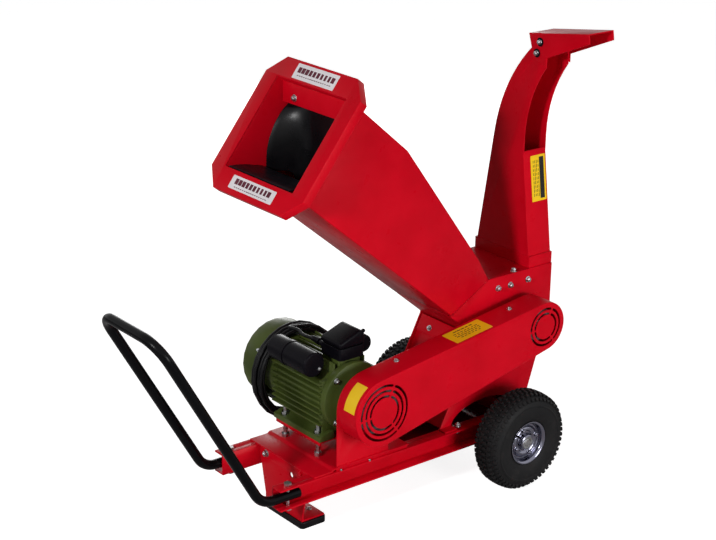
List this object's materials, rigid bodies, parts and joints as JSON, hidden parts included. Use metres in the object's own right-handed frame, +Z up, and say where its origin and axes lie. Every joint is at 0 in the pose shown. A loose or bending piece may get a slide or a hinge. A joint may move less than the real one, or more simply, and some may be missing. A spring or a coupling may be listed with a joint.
{
  "type": "electric wood chipper",
  "caption": "Belt-driven electric wood chipper on a wheeled hand-cart frame, with a tilted feed hopper, a drum with knives, a tall curved discharge chute and a pull handle.",
  "frame": {"origin": "middle of the front leg pad's underside, on the ground", "axes": "+X from the pull handle to the wheels, +Y to the side away from the belt guard, +Z up"},
  "size_m": [1.2271, 0.5251, 1.1696],
  "materials": {
    "red_paint": "glossy red powder coat on sheet steel",
    "black_paint": "glossy black powder coat on steel tube",
    "zinc": "bright zinc plate",
    "knife_steel": "ground steel",
    "cast_iron": "machined cast iron",
    "chrome": "bright pressed rim",
    "motor_green": "satin olive green enamel on ribbed casting",
    "tyre": "matt black pneumatic tyre",
    "rubber": "matt black rubber",
    "black_plastic": "moulded black plastic",
    "cord": "black round mains cord"
  },
  "bodies": {
    "machine_frame": {"rail_near": "red_paint", "rail_far": "red_paint", "rear_crossbar": "red_paint", "front_leg": "red_paint", "leg_pad": "rubber", "motor_platform": "red_paint", "motor_plate": "red_paint", "motor_stud_1": "zinc", "motor_stud_2": "zinc", "motor_stud_3": "zinc", "motor_stud_4": "zinc", "axle": "zinc", "axle_bush_near": "zinc", "axle_bush_far": "zinc", "wheel_nut_near": "zinc", "wheel_nut_far": "zinc", "handle": "black_paint", "handle_bolt_near": "zinc", "handle_bolt_far": "zinc", "stand_near": "red_paint", "stand_far": "red_paint", "stand_front": "red_paint", "throat_plate": "red_paint", "rotor_housing": "red_paint", "bed_knife": "knife_steel", "bearing_near": "cast_iron", "bearing_far": "cast_iron", "belt_inner": "rubber", "belt_outer": "rubber", "guard_plate": "red_paint", "belt_guard": "red_paint", "motor_housing": "motor_green", "motor_end_bell": "motor_green", "fan_cover": "motor_green", "terminal_box": "black_plastic", "terminal_lid": "black_plastic", "capacitor": "black_plastic", "cord_gland": "black_plastic", "cord_winding": "cord", "cord_lead": "cord", "plug": "black_plastic", "hopper": "red_paint", "hopper_frame": "red_paint", "curtain_bar": "red_paint", "chute": "red_paint", "deflector_bolt": "zinc"},
    "wheel_near": {"tyre_near": "tyre", "rim_near": "chrome"},
    "wheel_far": {"tyre_far": "tyre", "rim_far": "chrome"},
    "motor_rotor": {"motor_shaft": "knife_steel", "motor_fan": "black_plastic", "motor_pulley": "cast_iron"},
    "knife_rotor": {"rotor_shaft": "knife_steel", "rotor_drum": "cast_iron", "knife_1": "knife_steel", "knife_2": "knife_steel", "rotor_pulley": "cast_iron"},
    "feed_curtain": {"curtain": "rubber"},
    "chip_deflector": {"deflector": "red_paint"}
  },
  "joints": [
    {"name": "wheel_near_spin", "type": "hinge", "parent": "machine_frame", "child": "wheel_near", "pos_m": [0.551, -0.213, 0.13], "axis": [0, 1, 0], "continuous": true},
    {"name": "wheel_far_spin", "type": "hinge", "parent": "machine_frame", "child": "wheel_far", "pos_m": [0.551, 0.213, 0.13], "axis": [0, 1, 0], "continuous": true},
    {"name": "knife_rotor_spin", "type": "hinge", "parent": "machine_frame", "child": "knife_rotor", "pos_m": [0.634, 0, 0.412], "axis": [0, 1, 0], "continuous": true},
    {"name": "motor_spin", "type": "hinge", "parent": "machine_frame", "child": "motor_rotor", "pos_m": [0.113, 0, 0.3175], "axis": [0, 1, 0], "continuous": true},
    {"name": "curtain_swing", "type": "hinge", "parent": "machine_frame", "child": "feed_curtain", "pos_m": [0.08737, 0, 1.01469], "axis": [0, -1, 0], "range_deg": [-20, 45]},
    {"name": "deflector_tilt", "type": "hinge", "parent": "machine_frame", "child": "chip_deflector", "pos_m": [0.7045, -0.095, 1.092], "axis": [1, 0, 0], "range_deg": [-30, 45]}
  ],
  "couplings": [
    {"joint": "motor_spin", "follows": "knife_rotor_spin", "ratio": 0.71667}
  ]
}
